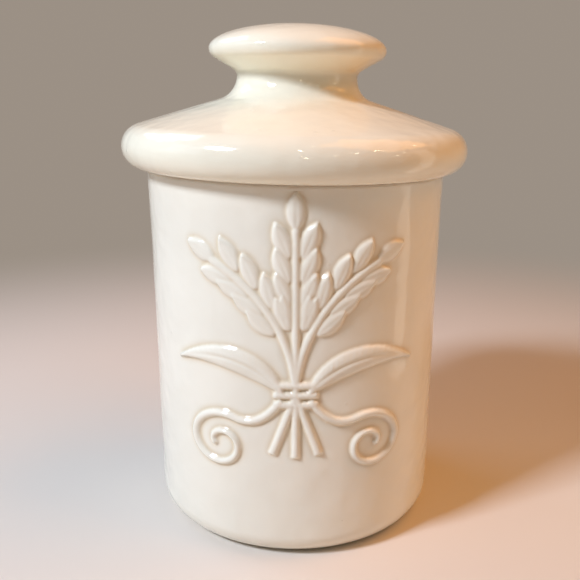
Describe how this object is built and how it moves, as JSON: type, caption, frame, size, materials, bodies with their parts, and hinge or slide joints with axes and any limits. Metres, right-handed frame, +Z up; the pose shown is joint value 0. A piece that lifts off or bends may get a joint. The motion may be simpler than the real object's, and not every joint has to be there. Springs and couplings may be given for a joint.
{
  "type": "biscuit jar",
  "caption": "Lidded cast ceramic biscuit jar in ivory glaze: a plain tall cylinder with a raised wheat sheaf on its front, and a wide sloping lid with a waisted neck and a domed knob.",
  "frame": {"origin": "centre of the foot's underside, on the surface that the jar stands on", "axes": "+Z up along the jar's axis, -Y towards the front with the raised ornament, +X to the right seen from the front"},
  "size_m": [0.1748, 0.1748, 0.2521],
  "materials": {
    "body_glaze": "gloss",
    "lid_glaze": "gloss"
  },
  "bodies": {
    "jar": {"jar_body": "body_glaze"},
    "lid": {"lid": "lid_glaze"}
  },
  "joints": [
    {"name": "lid_lift", "type": "slide", "parent": "jar", "child": "lid", "axis": [0, 0, 1], "range_m": [0, 0.1]}
  ]
}
